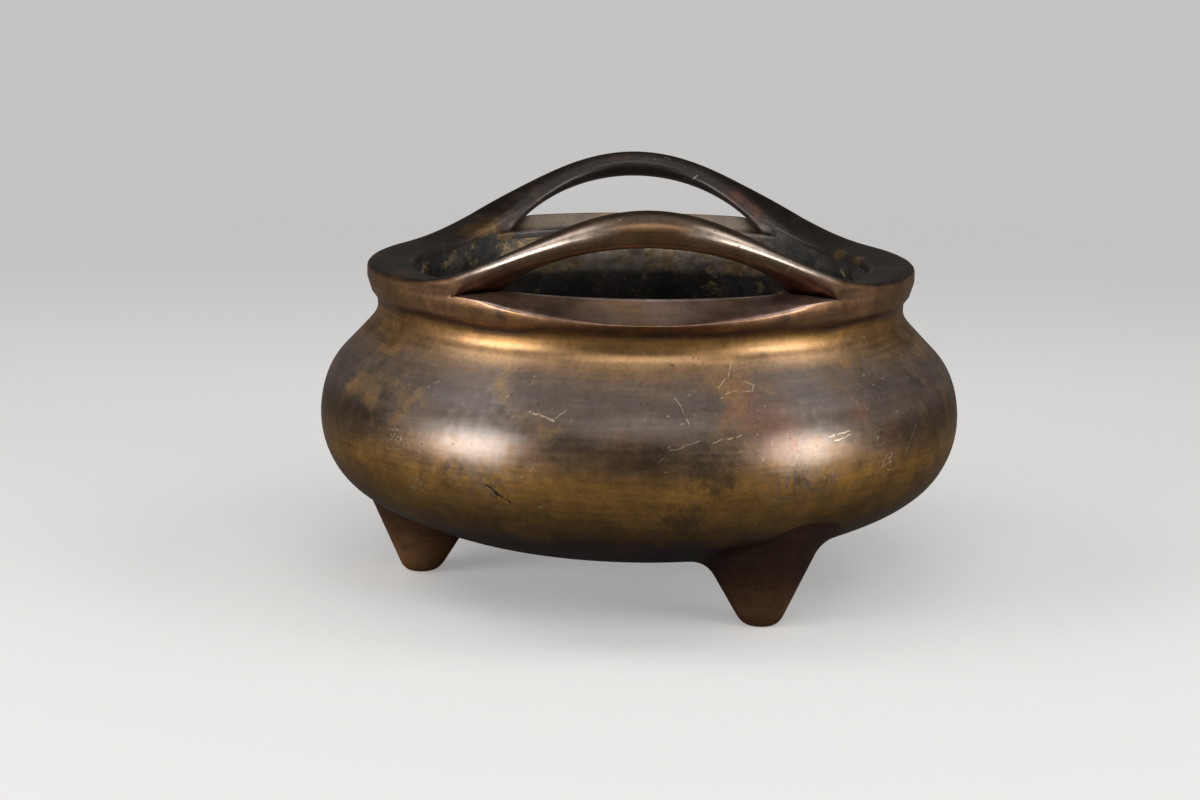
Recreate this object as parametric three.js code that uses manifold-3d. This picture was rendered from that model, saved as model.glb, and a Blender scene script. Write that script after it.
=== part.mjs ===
// A tripod incense burner in cast bronze, in millimetres, +Z up, standing on z = 0.
// The vessel's axis is Z, the two arched handles stand at -Y and +Y, and one foot points to -X.
// The castings are the pot, two handles tenoned into its lip, and three feet tenoned into its floor.
import * as THREE from "three";
import Module from "manifold-3d";
import { mergeVertices } from "three/addons/utils/BufferGeometryUtils.js";

const wasm = await Module();
wasm.setup();

const { degToRad, lerp, smoothstep } = THREE.MathUtils;

// Pot
const POT = { wall: 4.5, segments: 72, bottomZ: 15.6, floorThickness: 5, outlineSteps: 18 };
// Outer outline of the pot from the axis to the neck: radius, height
const BELLY_OUTLINE = [
  [0, POT.bottomZ],
  [40, 15.9],
  [52.2, 16.6],
  [64.3, 20.3],
  [78, 27.3],
  [85.6, 36.4],
  [88, 46],
  [85, 59.2],
  [77.4, 67.9],
  [73, 72.4],
  [70.6, 78.5],
];
// How the neck runs out under the lip, and how much wider the throat is than the mouth
const NECK = { filletOut: 0.8, filletUp: 1.8, overhang: 2.4, overhangDrop: 0.9, throat: 1.8 };
// Lip
const LIP = {
  outerRadius: 75,
  innerRadius: 62.3,
  lowZ: 82,
  faceZ: 84.4,
  topZ: 88.9,
  innerTopZ: 87.5,
  faceRound: 2,
  chamfer: 0.6,
  sideZ: 84,
  outerRound: 4.4,
  innerRound: 1.8,
};
// Handles: angles are measured round the vessel from the middle of each arch
const ARCH = {
  rise: 22.7,
  spread: degToRad(66),
  sharpness: 1.25,
  lean: 0.335,
  tip: degToRad(40.5),
  end: degToRad(41),
  barNarrowing: 1.6,
  barRound: 5,
  legRound: 0.7,
  undersideTopZ: 102.2,
  stations: 40,
  seatDepth: 1.2,
  seatInset: 0.6,
};
// Rail under each window. The back one stands higher, as on the real casting.
const RAILS = {
  front: { window: degToRad(33.4), innerZ: 87, ridgeZ: 87.8, windowZ: 87.6, windowRise: 16 },
  back: { window: degToRad(34.5), innerZ: 88.6, ridgeZ: 92, windowZ: 88.6, windowRise: 15.2 },
};
const RAIL = {
  ridgeRadius: 66,
  ridgeRound: 0.8,
  edgeRound: 0.4,
  seatZ: 87.8,
  slantLowZ: 82.3,
  tipZ: 86.5,
  slantPower: 1.4,
};
const TENON = { width: 5, height: 2.6, length: 5, radius: 69, z: 89.9 };
// Feet
const FOOT = {
  circleRadius: 60.4,
  angles: [-59, 59, 180],
  lean: 0.1,
  soleRadius: 4.9,
  soleRound: 2.6,
  taper: 0.53,
  filletDown: 4,
  filletOut: 5,
  edge: 0.5,
  tenonRadius: 4,
  tenonDepth: 2.5,
  tenonReach: 10,
  tenonSegments: 24,
  segments: 30,
  soleSteps: 3,
  filletSteps: 6,
};
const GAP = 0.3;

const BRONZE = new THREE.MeshStandardMaterial({ color: 0x6b5233, roughness: 0.42, metalness: 1 });
const WORN_BRONZE = new THREE.MeshStandardMaterial({ color: 0x7a5c3c, roughness: 0.36, metalness: 1 });
const FOOT_BRONZE = new THREE.MeshStandardMaterial({ color: 0x5a3f2a, roughness: 0.5, metalness: 1 });

// Angle from the middle of the nearer handle, 0 to 90 degrees
function archAngle(azimuth) {
  const fromFront = Math.abs(Math.atan2(Math.cos(azimuth), -Math.sin(azimuth)));
  return Math.min(fromFront, Math.PI - fromFront);
}

function railAt(azimuth) {
  return Math.sin(azimuth) < 0 ? RAILS.front : RAILS.back;
}

// How far the band's top is lifted at that angle
function lift(angle) {
  const share = 0.5 * (1 + Math.cos((Math.PI * Math.min(angle, ARCH.spread)) / ARCH.spread));
  return ARCH.rise * share ** ARCH.sharpness;
}

// How far the band leans out at a height
function lean(z) {
  return ARCH.lean * Math.max(0, z - LIP.topZ);
}

// Height of an edge that springs like a cosine from where it meets the rail, and sinks a little past it
function springing(angle, base, rise, reach) {
  return base + Math.max(-ARCH.seatDepth, rise * Math.cos((0.5 * Math.PI * angle) / reach));
}

// Points on a spline through an outline
function splinePoints(outline, count) {
  const curve = new THREE.CatmullRomCurve3(
    outline.map(([r, z]) => new THREE.Vector3(r, z, 0)),
    false,
    "centripetal",
  );
  return curve.getSpacedPoints(count).map((p) => [p.x, p.y]);
}

// The outline moved along its normal, to the left of its direction
function offsetOutline(points, distance) {
  return points.map(([r, z], i) => {
    const [ar, az] = points[Math.max(0, i - 1)];
    const [br, bz] = points[Math.min(points.length - 1, i + 1)];
    const length = Math.hypot(br - ar, bz - az);
    return [Math.max(0, r - (distance * (bz - az)) / length), z + (distance * (br - ar)) / length];
  });
}

// Corners as [radius, height, rounding], each rounded by a curve of a fixed number of steps
function roundCorners(corners, steps, closed) {
  const count = corners.length;
  const points = [];
  corners.forEach(([r, z, rounding], i) => {
    if (!closed && (i === 0 || i === count - 1)) {
      points.push([r, z]);
      return;
    }
    const corner = new THREE.Vector2(r, z);
    const [before, after] = [corners[(i + count - 1) % count], corners[(i + 1) % count]].map(
      ([otherR, otherZ]) => {
        const way = new THREE.Vector2(otherR, otherZ).sub(corner);
        return way.clone().setLength(Math.min(rounding, 0.45 * way.length())).add(corner);
      },
    );
    const curve = new THREE.QuadraticBezierCurve(before, corner, after);
    for (const p of curve.getPoints(steps)) points.push([p.x, p.y]);
  });
  return points;
}

const bellyOutside = splinePoints(BELLY_OUTLINE, POT.outlineSteps);
const bellyInside = offsetOutline(bellyOutside, POT.wall);

// Height of the belly's underside at a radius
function undersideZ(radius) {
  const i = bellyOutside.findIndex(([r]) => r > radius);
  const [[r0, z0], [r1, z1]] = [bellyOutside[i - 1], bellyOutside[i]];
  return lerp(z0, z1, (radius - r0) / (r1 - r0));
}

// How much of a bar the band is at an angle: 1 in the middle of an arch, 0 from its end on
function barShare(angle) {
  return smoothstep(1 - angle / ARCH.end, 0, 1);
}

// Top corners of the band at an angle: outer, then inner
function topCorners(angle) {
  const outerZ = LIP.topZ + lift(angle);
  const innerZ = LIP.innerTopZ + lift(angle);
  const narrowing = ARCH.barNarrowing * barShare(angle);
  const rounding = lerp(LIP.outerRound, ARCH.barRound, barShare(angle));
  return [
    [LIP.outerRadius - narrowing + lean(outerZ), outerZ, rounding],
    [LIP.innerRadius + narrowing + lean(innerZ), innerZ, lerp(LIP.innerRound, rounding, barShare(angle))],
  ];
}

// The rail's corners at an angle: where its slanted face starts, its ridge and its inner edge
function railCorners(angle, rail) {
  const share = Math.min(1, angle / ARCH.tip);
  const underLeg = smoothstep(angle, 0.85 * rail.window, ARCH.tip);
  return [
    [LIP.outerRadius, lerp(RAIL.slantLowZ, RAIL.tipZ, share ** RAIL.slantPower), RAIL.edgeRound],
    [RAIL.ridgeRadius, lerp(rail.ridgeZ, RAIL.seatZ, underLeg), RAIL.ridgeRound],
    [LIP.innerRadius, rail.innerZ, RAIL.edgeRound],
    [LIP.innerRadius, LIP.sideZ, 0],
  ];
}

// The whole lip's corners at an angle. Its side corners sink from the height of a handle's seat.
function wholeCorners(angle, rail) {
  const fade = smoothstep(angle, ARCH.end, ARCH.spread);
  return [
    [LIP.outerRadius, lerp(RAIL.tipZ, LIP.faceZ, fade), lerp(RAIL.edgeRound, LIP.faceRound, fade)],
    ...topCorners(angle),
    [LIP.innerRadius, lerp(rail.windowZ - ARCH.seatDepth, LIP.sideZ, fade), 0],
  ];
}

// The lip's outside, top and inside at an azimuth
function lipPoints(azimuth) {
  const angle = archAngle(azimuth);
  const corners = angle < ARCH.end ? railCorners : wholeCorners;
  return roundCorners(
    [
      [LIP.outerRadius - LIP.chamfer, LIP.lowZ, 0],
      ...corners(angle, railAt(azimuth)),
      [LIP.innerRadius, LIP.lowZ + LIP.chamfer, 0],
    ],
    2,
    false,
  );
}

// Whole closed profile of the pot at an azimuth
function potProfile(azimuth) {
  const [neckRadius, neckZ] = BELLY_OUTLINE.at(-1);
  return [
    ...bellyOutside,
    [neckRadius + NECK.filletOut, neckZ + NECK.filletUp],
    [LIP.outerRadius - NECK.overhang, LIP.lowZ - NECK.overhangDrop],
    ...lipPoints(azimuth),
    [LIP.innerRadius + NECK.throat, neckZ],
    ...bellyInside.slice(2, -2).reverse(),
    [0, POT.bottomZ + POT.floorThickness],
  ];
}

// Azimuths round the pot: even steps, closer where a rail runs out, doubled where a handle's end stands
function potStations() {
  const stations = [];
  const step = (2 * Math.PI) / POT.segments;
  const closest = 0.3 * step;
  const edge = 1e-3;
  const marks = [0.8 * ARCH.tip, 0.9 * ARCH.tip, ARCH.end - edge, ARCH.end + edge].flatMap((angle) =>
    [-1, 1].flatMap((side) => [side * angle - Math.PI / 2, side * angle + Math.PI / 2]),
  );
  for (let i = 0; i < POT.segments; i++) {
    const azimuth = -Math.PI + i * step;
    if (marks.every((mark) => Math.abs(azimuth - mark) > closest)) stations.push(azimuth);
  }
  return [...stations, ...marks].sort((a, b) => a - b);
}

// A surface over rows of points, each row joined to the next
function gridGeometry(rows, { rowsClosed, rowClosed }) {
  const count = rows[0].length;
  const index = [];
  for (let i = 0; i < rows.length - (rowsClosed ? 0 : 1); i++) {
    const next = (i + 1) % rows.length;
    for (let j = 0; j < count - (rowClosed ? 0 : 1); j++) {
      const beside = (j + 1) % count;
      const [a, b] = [i * count + j, next * count + j];
      const [c, d] = [next * count + beside, i * count + beside];
      index.push(a, b, c, a, c, d);
    }
  }
  if (!rowsClosed) {
    const last = (rows.length - 1) * count;
    for (let j = 1; j < count - 1; j++) {
      index.push(0, j, j + 1);
      index.push(last, last + j + 1, last + j);
    }
  }
  const geometry = new THREE.BufferGeometry();
  geometry.setAttribute("position", new THREE.Float32BufferAttribute(rows.flat(2), 3));
  geometry.setIndex(index);
  return geometry;
}

// A profile of radius and height, turned to stand at an azimuth
function standing(profile, azimuth) {
  return profile.map(([r, z]) => [r * Math.cos(azimuth), r * Math.sin(azimuth), z]);
}

// A solid that manifold can join and cut
function solid(geometry) {
  const bare = geometry.clone();
  bare.deleteAttribute("normal");
  bare.deleteAttribute("uv");
  const merged = mergeVertices(bare, 1e-4);
  const index = merged.index.array;
  const kept = [];
  for (let i = 0; i < index.length; i += 3) {
    const [a, b, c] = [index[i], index[i + 1], index[i + 2]];
    if (a !== b && b !== c && a !== c) kept.push(a, b, c);
  }
  const made = new wasm.Manifold(
    new wasm.Mesh({
      numProp: 3,
      vertProperties: Float32Array.from(merged.attributes.position.array),
      triVerts: Uint32Array.from(kept),
    }),
  );
  if (made.volume() <= 0) throw new Error("a solid is inside out");
  return made;
}

function geometryOf(manifold) {
  const mesh = manifold.getMesh();
  const geometry = new THREE.BufferGeometry();
  geometry.setAttribute("position", new THREE.Float32BufferAttribute(mesh.vertProperties, 3));
  geometry.setIndex(Array.from(mesh.triVerts));
  geometry.computeVertexNormals();
  return geometry;
}

// A tenon at one end of a handle
function tenonBox(side, turn, clearance) {
  const box = new THREE.BoxGeometry(
    2 * (TENON.length + clearance),
    TENON.width + 2 * clearance,
    TENON.height + 2 * clearance,
  );
  const azimuth = side * ARCH.end - Math.PI / 2;
  box.rotateZ(azimuth + Math.PI / 2);
  box.translate(TENON.radius * Math.cos(azimuth), TENON.radius * Math.sin(azimuth), TENON.z);
  return box.rotateZ(turn);
}

function footPlace(angle, height) {
  const radius = FOOT.circleRadius - FOOT.lean * height;
  return [radius * Math.cos(degToRad(angle)), radius * Math.sin(degToRad(angle))];
}

function standingCylinder(radius, low, high, [x, y]) {
  const cylinder = new THREE.CylinderGeometry(radius, radius, high - low, FOOT.tenonSegments);
  cylinder.rotateX(Math.PI / 2);
  cylinder.translate(x, y, (low + high) / 2);
  return solid(cylinder);
}

// The pot before it is cut, raised by a height
function potBody(height) {
  const rows = potStations().map((azimuth) => standing(potProfile(azimuth), azimuth));
  const geometry = gridGeometry(rows, { rowsClosed: true, rowClosed: false });
  return solid(geometry.translate(0, 0, height));
}

// The pot's outline moved inwards by a depth, and filled
function filledPot(depth) {
  const [, ...side] = offsetOutline(bellyOutside, depth);
  const outline = [[0, POT.bottomZ + depth], ...side, [0, side.at(-1)[1]]];
  const geometry = new THREE.LatheGeometry(
    outline.map(([r, z]) => new THREE.Vector2(r, z)),
    POT.segments,
  );
  return solid(geometry.rotateX(Math.PI / 2));
}

// A foot's tenon, whose top follows the pot's wall
function footTenon(angle, clearance) {
  const middle = POT.bottomZ + POT.floorThickness;
  const [low, high] = [middle - FOOT.tenonReach, middle + FOOT.tenonReach];
  const cylinder = standingCylinder(FOOT.tenonRadius + clearance, low, high, footPlace(angle, POT.bottomZ));
  return cylinder.subtract(filledPot(FOOT.tenonDepth + clearance));
}

function makePot() {
  let pot = potBody(0);
  for (const side of [-1, 1]) {
    for (const turn of [0, Math.PI]) pot = pot.subtract(solid(tenonBox(side, turn, GAP)));
  }
  for (const angle of FOOT.angles) pot = pot.subtract(footTenon(angle, GAP));
  return pot;
}

// A handle's closed section: inner lower edge, outer lower edge, then the top corners
function handleSection(angle, rail) {
  const innerZ = springing(angle, rail.windowZ, rail.windowRise, rail.window);
  const outerZ = springing(angle, RAIL.tipZ, ARCH.undersideTopZ - RAIL.tipZ, ARCH.tip);
  const [outerTop, innerTop] = topCorners(angle);
  const rounding = lerp(ARCH.legRound, ARCH.barRound, smoothstep(1 - angle / rail.window, 0, 0.7));
  const inset = (base) => ARCH.barNarrowing * barShare(angle) + (base ? ARCH.seatInset : 0);
  return roundCorners(
    [
      [LIP.innerRadius + inset(innerZ < rail.windowZ) + lean(innerZ), innerZ, rounding],
      [LIP.outerRadius - inset(outerZ < RAIL.tipZ) + lean(outerZ), outerZ, rounding],
      outerTop,
      innerTop,
    ],
    4,
    true,
  );
}

function makeHandle(rail, turn) {
  const reach = ARCH.end - GAP / LIP.innerRadius;
  const rows = [];
  for (let i = 0; i <= ARCH.stations; i++) {
    const angle = lerp(-reach, reach, i / ARCH.stations);
    rows.push(standing(handleSection(Math.abs(angle), rail), angle - Math.PI / 2));
  }
  const bar = gridGeometry(rows, { rowsClosed: false, rowClosed: true });
  let handle = solid(bar.rotateZ(turn)).subtract(potBody(GAP));
  for (const side of [-1, 1]) handle = handle.add(solid(tenonBox(side, turn, 0)));
  return handle;
}

// A curve from one point to another that leaves and arrives along the lines to a corner
function bend(from, corner, to, steps) {
  const [a, b, c] = [from, corner, to].map((p) => new THREE.Vector3(...p));
  return new THREE.QuadraticBezierCurve3(a, b, c).getPoints(steps).map((p) => p.toArray());
}

// The line up a foot's side in a direction: rounded sole, cone, then a fillet that meets the belly
function footSide(angle, direction) {
  const at = (radius, height) => {
    const [x, y] = footPlace(angle, height);
    return [x + radius * Math.cos(direction), y + radius * Math.sin(direction), height];
  };
  const coneAt = (height) => at(FOOT.soleRadius + FOOT.taper * height, height);
  const onBelly = ([x, y]) => [x, y, undersideZ(Math.hypot(x, y)) - GAP - FOOT.edge];
  // The height where the cone meets the belly, which depends on how far out it has got
  let topZ = POT.bottomZ;
  for (let i = 0; i < 8; i++) topZ = onBelly(coneAt(topZ))[2];
  const root = onBelly(at(FOOT.soleRadius + FOOT.taper * topZ + FOOT.filletOut, topZ));
  const flatRadius = FOOT.soleRadius - 0.8 * FOOT.soleRound;
  return [
    at(0, 0),
    ...bend(at(flatRadius, 0), coneAt(0), coneAt(FOOT.soleRound), FOOT.soleSteps),
    ...bend(coneAt(topZ - FOOT.filletDown), coneAt(topZ), root, FOOT.filletSteps),
    [root[0], root[1], root[2] + 2 * FOOT.edge + GAP],
    at(0, POT.bottomZ + POT.floorThickness),
  ];
}

function makeFoot(angle) {
  const sides = [];
  for (let i = 0; i < FOOT.segments; i++) {
    sides.push(footSide(angle, (i / FOOT.segments) * 2 * Math.PI));
  }
  const body = solid(gridGeometry(sides, { rowsClosed: true, rowClosed: false }));
  return body.subtract(filledPot(-GAP)).add(footTenon(angle, 0));
}

const burner = new THREE.Group();

function place(name, manifold, material) {
  const mesh = new THREE.Mesh(geometryOf(manifold), material);
  mesh.name = name;
  burner.add(mesh);
}

place("pot", makePot(), BRONZE);
place("front_handle", makeHandle(RAILS.front, 0), WORN_BRONZE);
place("back_handle", makeHandle(RAILS.back, Math.PI), WORN_BRONZE);
const FOOT_NAMES = ["front_right_foot", "back_right_foot", "left_foot"];
FOOT.angles.forEach((angle, i) => place(FOOT_NAMES[i], makeFoot(angle), FOOT_BRONZE));

export default burner;
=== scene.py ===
from math import atan2, cos, hypot, pi, radians, sin
import bmesh
import bpy
from mathutils import Matrix, Vector, noise


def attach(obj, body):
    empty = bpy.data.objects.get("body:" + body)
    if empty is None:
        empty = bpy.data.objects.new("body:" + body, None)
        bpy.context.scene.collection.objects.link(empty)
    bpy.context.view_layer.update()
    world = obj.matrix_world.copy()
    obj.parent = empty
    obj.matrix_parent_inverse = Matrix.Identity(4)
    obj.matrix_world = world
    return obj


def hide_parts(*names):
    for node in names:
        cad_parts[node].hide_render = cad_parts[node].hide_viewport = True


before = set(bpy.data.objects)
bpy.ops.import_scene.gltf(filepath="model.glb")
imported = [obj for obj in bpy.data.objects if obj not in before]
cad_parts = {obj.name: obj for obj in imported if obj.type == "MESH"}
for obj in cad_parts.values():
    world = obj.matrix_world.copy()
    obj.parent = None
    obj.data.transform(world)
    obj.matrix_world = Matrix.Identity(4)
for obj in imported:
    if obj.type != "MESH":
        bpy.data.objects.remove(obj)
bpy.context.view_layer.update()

mm = 0.001  # the shapes below are worked out in millimetres and scaled at the end

photo = {
    "width": 1200, "height": 800,  # pixels
    "focalPixels": 2500,
    "position": (-0.01853, -0.68049, 0.186),
    "turn": -0.655,  # degrees, to the left of +Y
    "tilt": 11.402,  # degrees down
    "roll": 0.602,
}
studio = {
    "floorColour": (0.22, 0.216, 0.212),
    "seenColour": (0.62, 0.612, 0.6),  # the floor as the camera sees it
    "seenGlow": (0.27, 0.267, 0.262),
    "floorReach": 20.0,  # metres
    "farFrom": 0.2, "farAt": 1.0,  # metres from the object over which the floor turns into the backdrop
    "farColour": (0.56, 0.553, 0.542),
    "farReflected": (0.16, 0.158, 0.155),
    "roomColour": (0.78, 0.775, 0.765),
    "ambient": 0.12,
    "softboxes": {  # degrees to the right of the front, degrees up, metres away, metres wide and high, watts
        "leftBox": {"azimuth": -62, "elevation": 7, "distance": 1.1, "size": (0.58, 0.56), "power": 9.8},
        "rightBox": {"azimuth": 58, "elevation": 7, "distance": 1.1, "size": (0.58, 0.56), "power": 8.1},
        "leftHighBox": {"azimuth": -84, "elevation": 48, "distance": 1.1, "size": (0.5, 0.44), "power": 2.2},
        "rightHighBox": {"azimuth": 80, "elevation": 46, "distance": 1.1, "size": (0.5, 0.44), "power": 2.2},
        "frontBox": {"azimuth": 2, "elevation": 43, "distance": 1.2, "size": (0.9, 0.42), "power": 3.6},
        "topBox": {"azimuth": 0, "elevation": 85, "distance": 1.3, "size": (1.2, 1.0), "power": 2.6},
    },
}


def smoothstep(value, low, high):
    share = min(1.0, max(0.0, (value - low) / (high - low)))
    return share * share * (3 - 2 * share)


def mix(a, b, share):
    return a + (b - a) * share


def splineLine(controls, count):
    # A smooth line drawn by its control points, as evenly spaced points
    fine = []
    for i in range(1, len(controls) - 2):
        for step in range(40):
            t = step / 40
            weights = ((1 - t) ** 3, 3 * t**3 - 6 * t**2 + 4, 1 + 3 * t + 3 * t**2 - 3 * t**3, t**3)
            near = [Vector(p) for p in controls[i - 1:i + 3]]
            fine.append(sum((p * w for p, w in zip(near, weights)), Vector((0, 0))) / 6)
    fine[0].x = 0.0
    lengths = [0.0]
    for a, b in zip(fine, fine[1:]):
        lengths.append(lengths[-1] + (b - a).length)
    even = []
    k = 0
    for i in range(count):
        goal = lengths[-1] * i / (count - 1)
        while k < len(fine) - 2 and lengths[k + 1] < goal:
            k += 1
        share = (goal - lengths[k]) / (lengths[k + 1] - lengths[k])
        even.append(fine[k].lerp(fine[k + 1], share))
    return even


def roundCorners(corners, steps, fills, closed):
    # corners are (radius, height, rounding); fills says how many points go on the straight after each
    count = len(corners)
    bends = []
    for i, (r, z, rounding) in enumerate(corners):
        corner = Vector((r, z))
        if not closed and i in (0, count - 1):
            bends.append([corner])
            continue
        ends = []
        for other in (corners[i - 1], corners[(i + 1) % count]):
            way = Vector(other[:2]) - corner
            ends.append(corner + way.normalized() * min(rounding, 0.48 * way.length))
        bends.append([
            ends[0] * (1 - t) ** 2 + corner * (2 * t * (1 - t)) + ends[1] * t**2
            for t in (step / steps for step in range(steps + 1))
        ])
    points = []
    for i, bend in enumerate(bends):
        points += bend
        if closed or i < count - 1:
            start, end = bend[-1], bends[(i + 1) % count][0]
            points += [start.lerp(end, (k + 1) / (fills[i] + 1)) for k in range(fills[i])]
    return points


# The lip's band, which the pot and the handles share. Angles are degrees from the middle of an arch.
band = {
    "outerRadius": 75, "innerRadius": 62.3, "lowZ": 80.9, "lowFaceZ": 82.2, "faceZ": 84.4, "sideZ": 84,
    "topZ": 88.9, "innerTopZ": 87.5, "outerRound": 5.2, "innerRound": 2.2, "lowRound": 1.5,
    "chamfer": 0.6, "drawnIn": 1.1,
    "rise": 22.6, "spread": 66, "lean": 0.335,
    "tip": 40.5, "end": 41, "legStart": 27,  # the leg stands on the rail from its start to the tip
    "seatDepth": 1.2, "legRound": 2.6, "sunk": 0.3,
    "barNarrowing": 1.6, "barRound": 5.5, "barMiddle": 4.5, "upright": 1.25, "swell": 1.025,
    "slantLowZ": 82.5, "tipZ": 86.5, "creaseRound": 6,
    "ridgeRadius": 66, "ridgeRound": 0.7, "ridgeSwelling": 0.7, "tipInset": 0.6, "railInnerRound": 0.8,
    # over these shares of the way from an arch's middle to its tip, and then from its end to its middle
    "faceCloses": (0.45, 1), "slantCloses": (0.05, 1), "creaseSharpens": (0.45, 1.02),
    "uprightOver": 0.6, "dropOver": 0.5, "ovalOver": 0.45, "legRoundOver": 0.7,
    "steps": 6, "fills": (1, 1, 5, 6, 2, 2),  # points in each rounding, and on the straight after it
}
rails = {
    "front": {
        "spread": 72, "sharpness": 1.9, "window": 33.4, "innerZ": 87, "ridgeZ": 87.8,
        "windowZ": 87.6, "windowRise": 15.3, "undersideZ": 100.9, "drop": 0,
    },
    "back": {
        "spread": 68, "sharpness": 1.35, "window": 34.7, "innerZ": 88.8, "ridgeZ": 93.2,
        "windowZ": 88.8, "windowRise": 15.2, "undersideZ": 102.4, "drop": 1,
    },
}


def liftAt(angle, rail):
    share = 0.5 * (1 + cos(pi * min(angle, rail["spread"]) / rail["spread"]))
    return band["rise"] * share ** rail["sharpness"]


def leanAt(z):
    return band["lean"] * max(0.0, z - band["topZ"])


def leanFor(z, angle, rail):
    # The arch leans outward, while the faces of its bar stay nearly upright
    upright = band["upright"] * smoothstep(1 - angle / band["end"], 0, band["uprightOver"])
    return leanAt(mix(z, band["topZ"] + liftAt(angle, rail) - band["barMiddle"], upright))


def barShare(angle):
    return smoothstep(1 - angle / band["end"], 0, 1)


def springing(angle, base, rise, reach):
    # Height of a window's edge over the angle, which dips into the rail past its reach
    return base + max(-band["seatDepth"], rise * cos(0.5 * pi * angle / reach))


def topCorners(angle, rail):
    bar = barShare(angle)
    outerZ = band["topZ"] + liftAt(angle, rail)
    drop = rail["drop"] * smoothstep(1 - angle / band["spread"], 0, band["dropOver"])
    innerZ = band["innerTopZ"] + liftAt(angle, rail) - drop
    narrowing = band["barNarrowing"] * bar
    outerRound = mix(band["outerRound"], band["barRound"], bar)
    innerRound = mix(band["innerRound"], outerRound, bar)
    return [
        (band["outerRadius"] - narrowing + leanFor(outerZ, angle, rail), outerZ, outerRound),
        (band["innerRadius"] + narrowing + leanFor(innerZ, angle, rail), innerZ, innerRound),
    ]


def railCorners(angle, rail):
    # The rail under an arch: its slanting face closes up and its ridge moves outward towards the tip
    outer, inner = band["outerRadius"], band["innerRadius"]
    lowFaceZ = mix(band["lowFaceZ"], band["faceZ"], smoothstep(angle / band["tip"], *band["faceCloses"]))
    closed = smoothstep(angle / band["tip"], *band["slantCloses"])
    creaseZ = mix(band["slantLowZ"], band["tipZ"], closed)
    creaseRound = mix(band["creaseRound"], 0, smoothstep(closed, *band["creaseSharpens"]))
    underLeg = smoothstep(angle, band["legStart"], band["tip"])
    ridgeRadius = mix(band["ridgeRadius"], outer - band["tipInset"], underLeg)
    alongLeg = min(1, max(0, (angle - band["legStart"]) / (band["tip"] - band["legStart"])))
    swelling = band["ridgeSwelling"] * sin(pi * alongLeg) ** 2
    ridgeZ = mix(rail["ridgeZ"], band["tipZ"] + 0.5 * band["tipInset"], underLeg) + swelling
    return [
        (outer, lowFaceZ, band["lowRound"]),
        (outer, creaseZ, creaseRound),
        (ridgeRadius, ridgeZ, band["ridgeRound"]),
        (inner, rail["innerZ"], band["railInnerRound"]),
        (inner, band["sideZ"], 0),
    ]


def bandCorners(angle, rail):
    # The band beside the handles, which is level again where the arch's spread ends
    fade = smoothstep(angle, band["end"], band["spread"])
    return [
        (band["outerRadius"], band["faceZ"], band["lowRound"]),
        (band["outerRadius"], mix(band["tipZ"], band["faceZ"] + 0.1, fade), 0),
        *topCorners(angle, rail),
        (band["innerRadius"], mix(rail["windowZ"] - band["seatDepth"], band["sideZ"], fade), 0),
    ]


def lipSection(angle, rail):
    middle = railCorners(angle, rail) if angle < band["end"] else bandCorners(angle, rail)
    start = (band["outerRadius"] - band["drawnIn"], band["lowZ"], 0)
    end = (band["innerRadius"], band["lowZ"] + band["chamfer"], 0)
    return roundCorners([start, *middle, end], band["steps"], band["fills"], False)


pot = {
    "wall": 4.5, "floorThickness": 5, "bottomZ": 15.6, "steps": 360, "outlineSteps": 104,
    "insideRows": 12,  # rows of the lip's section that belong to its inside
    "underLipRound": 1.4, "throatInset": 1.2,
    "crust": 0.9, "crustTowards": (0, 0, 50),
    "crustWaves": ((14, 0.5), (5, 0.35), (2.5, 0.15)),  # size in millimetres, share of the crust
    "outline": [  # control points of the outside, from the axis up to the neck
        (-20, 15.6), (0, 15.6), (20, 15.6), (37.5, 16), (53, 15.5), (68.5, 21.5), (83.5, 29.5),
        (89.3, 44.8), (86, 59.5), (80.2, 65.2), (76.2, 69.5), (72.5, 73.4), (71.7, 77.2), (74, 82.4),
    ],
}
outside = splineLine(pot["outline"], pot["outlineSteps"])


def undersideZ(radius):
    i = next(i for i, point in enumerate(outside) if point.x > radius)
    a, b = outside[i - 1], outside[i]
    return mix(a.y, b.y, (radius - a.x) / (b.x - a.x))


def innerLine():
    # The wall's inside, from under the lip down to the axis
    line = []
    for a, b, c in list(zip(outside, outside[1:], outside[2:]))[::2]:
        way = (c - a).normalized()
        line.append(b + Vector((-way.y, way.x)) * pot["wall"])
    line = [p for p in line if p.x > 2]
    return [Vector((0, pot["bottomZ"] + pot["floorThickness"]))] + line


def potProfile(angle, rail):
    neck = outside[-1]
    fillet = [
        (neck.x, neck.y + 0.2, 0), (neck.x + 0.2, neck.y + 1.6, pot["underLipRound"]),
        (band["outerRadius"] - band["drawnIn"], band["lowZ"], 0),
    ]
    under = roundCorners(fillet, band["steps"], (0, 2), False)
    inner = innerLine()[:-2]
    throat = [Vector((band["innerRadius"] + pot["throatInset"], neck.y + 2))]
    return outside + under[:-1] + lipSection(angle, rail) + throat + inner[::-1], len(inner) + 1


def spun(profile, steps, turn):
    # Spins a profile of radius and height; each point keeps its number in the layer "place"
    mesh = bmesh.new()
    place = mesh.verts.layers.int.new("place")
    line = []
    for i, point in enumerate(profile):
        vert = mesh.verts.new((point.x, 0, point.y))
        vert[place] = i
        line.append(vert)
    edges = [mesh.edges.new(pair) for pair in zip(line, line[1:])]
    bmesh.ops.spin(
        mesh, geom=line + edges, cent=(0, 0, 0), axis=(0, 0, 1), dvec=(0, 0, 0),
        angle=turn, steps=steps, use_merge=turn == 2 * pi, use_duplicate=False,
    )
    return mesh, place


casting = {
    "joined": 0.0005,  # millimetres within which points become one
    "sharpFrom": 50,  # degrees between faces from which an edge stays sharp
    "waves": ((33, 0.25), (11, 0.1)),  # size and depth of the unevenness, millimetres
}


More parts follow.
